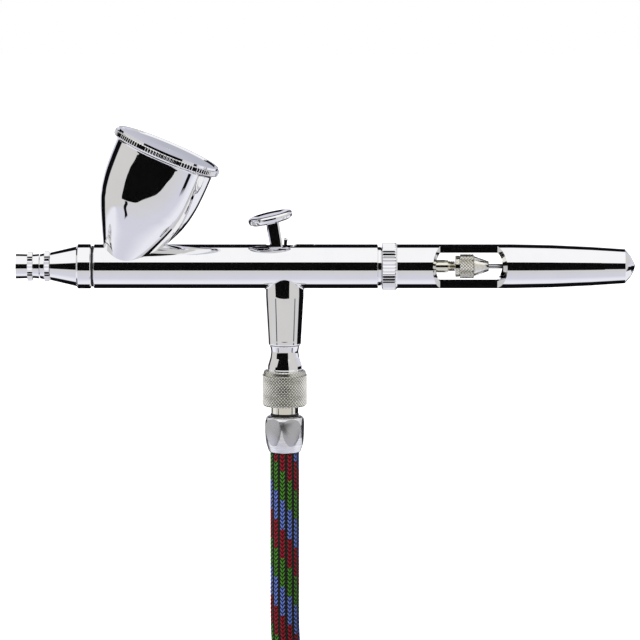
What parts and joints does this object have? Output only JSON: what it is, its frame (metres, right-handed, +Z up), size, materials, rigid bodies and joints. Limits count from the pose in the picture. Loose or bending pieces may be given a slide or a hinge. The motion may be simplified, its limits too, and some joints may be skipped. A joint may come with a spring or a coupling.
{
  "type": "airbrush gun",
  "caption": "Gravity-feed dual-action airbrush: level chromed barrel, tilted lidded colour cup, button trigger, windowed handle, and a braided air hose on a swivel nut, its spare length coiled.",
  "frame": {"origin": "where the barrel's axis meets the air valve's axis, which is where a hand or a hanger holds it level", "axes": "+X along the barrel to the handle, +Z up out of the trigger, +Y away from the side shown in the picture"},
  "size_m": [0.1577, 0.108, 0.1715],
  "materials": {
    "chrome": "polished chrome plate",
    "nickel": "bright warm nickel, knurled",
    "satin_steel": "satin grey, machined",
    "brass": "machined",
    "steel": "ground",
    "ptfe": "waxy white",
    "rubber": "black",
    "braid": "braided yarn, red, green and blue ribs on black",
    "strap": "hook-and-loop tape"
  },
  "bodies": {
    "gun": {"body_shell": "chrome", "fluid_cup": "chrome", "head_base": "chrome", "head_seal": "rubber", "fluid_nozzle": "brass", "nozzle_cap": "chrome", "needle_cap": "chrome", "needle_packing": "ptfe", "packing_screw": "brass", "spring_guide": "brass", "needle_spring": "steel", "piston_packing": "ptfe", "valve_guide_screw": "brass", "valve_casing": "chrome", "valve_spring": "steel", "valve_spring_screw": "brass", "hose_gasket": "rubber", "hose_nipple": "nickel", "hose_nipple_ring": "rubber", "hose_compression_nut": "satin_steel", "air_hose": "braid", "hose_coil": "braid", "hose_end": "braid", "coil_tie": "strap", "far_compression_nut": "satin_steel", "far_nipple_ring": "rubber", "far_nipple": "nickel", "far_gasket": "rubber"},
    "lid": {"cup_lid": "chrome"},
    "piston": {"air_piston": "steel", "trigger_pin": "steel", "valve_plunger": "brass", "valve_seal": "rubber"},
    "trigger_lever": {"trigger": "chrome"},
    "needle_set": {"needle": "steel", "chuck_guide": "nickel", "aux_lever_pin": "steel"},
    "chuck": {"chuck_nut": "nickel"},
    "rear_lever": {"aux_lever": "chrome"},
    "handle_shell": {"handle": "chrome"},
    "swivel": {"hose_swivel_nut": "nickel"},
    "far_swivel": {"far_swivel_nut": "nickel"}
  },
  "joints": [
    {"name": "lid_lift", "type": "slide", "parent": "gun", "child": "lid", "axis": [0.3907, 0, 0.9205], "range_m": [0, 0.02]},
    {"name": "trigger_press", "type": "slide", "parent": "gun", "child": "piston", "axis": [0, 0, -1], "range_m": [0, 0.0016], "stiffness_N_per_m": 500, "springref_m": -0.004, "deforming": ["valve_spring"]},
    {"name": "trigger_pull", "type": "hinge", "parent": "piston", "child": "trigger_lever", "pos_m": [0, 0, -0.0034], "axis": [0, 1, 0], "range_deg": [0, 18], "stiffness_Nm_per_rad": 0.01, "springref_deg": -17.19},
    {"name": "needle_slide", "type": "slide", "parent": "gun", "child": "needle_set", "axis": [1, 0, 0], "range_m": [0, 0.0026], "deforming": ["needle_spring"]},
    {"name": "chuck_nut_turn", "type": "hinge", "parent": "needle_set", "child": "chuck", "pos_m": [0.046, 0, 0], "axis": [1, 0, 0], "range_deg": [0, 360]},
    {"name": "aux_lever_rock", "type": "hinge", "parent": "needle_set", "child": "rear_lever", "pos_m": [0.0026, 0, -0.0014], "axis": [0, 1, 0], "range_deg": [0, 3]},
    {"name": "handle_off", "type": "slide", "parent": "gun", "child": "handle_shell", "axis": [1, 0, 0], "range_m": [0, 0.045]},
    {"name": "swivel_nut_spin", "type": "hinge", "parent": "gun", "child": "swivel", "pos_m": [0, 0, -0.031], "axis": [0, 0, 1], "continuous": true},
    {"name": "far_nut_spin", "type": "hinge", "parent": "gun", "child": "far_swivel", "pos_m": [0.0165, -0.0826, -0.10689], "axis": [1, 0, 0], "continuous": true}
  ],
  "couplings": [
    {"joint": "needle_slide", "follows": "trigger_pull", "m_per_rad": 0.008},
    {"joint": "aux_lever_rock", "follows": "trigger_pull", "ratio": 0.15}
  ]
}
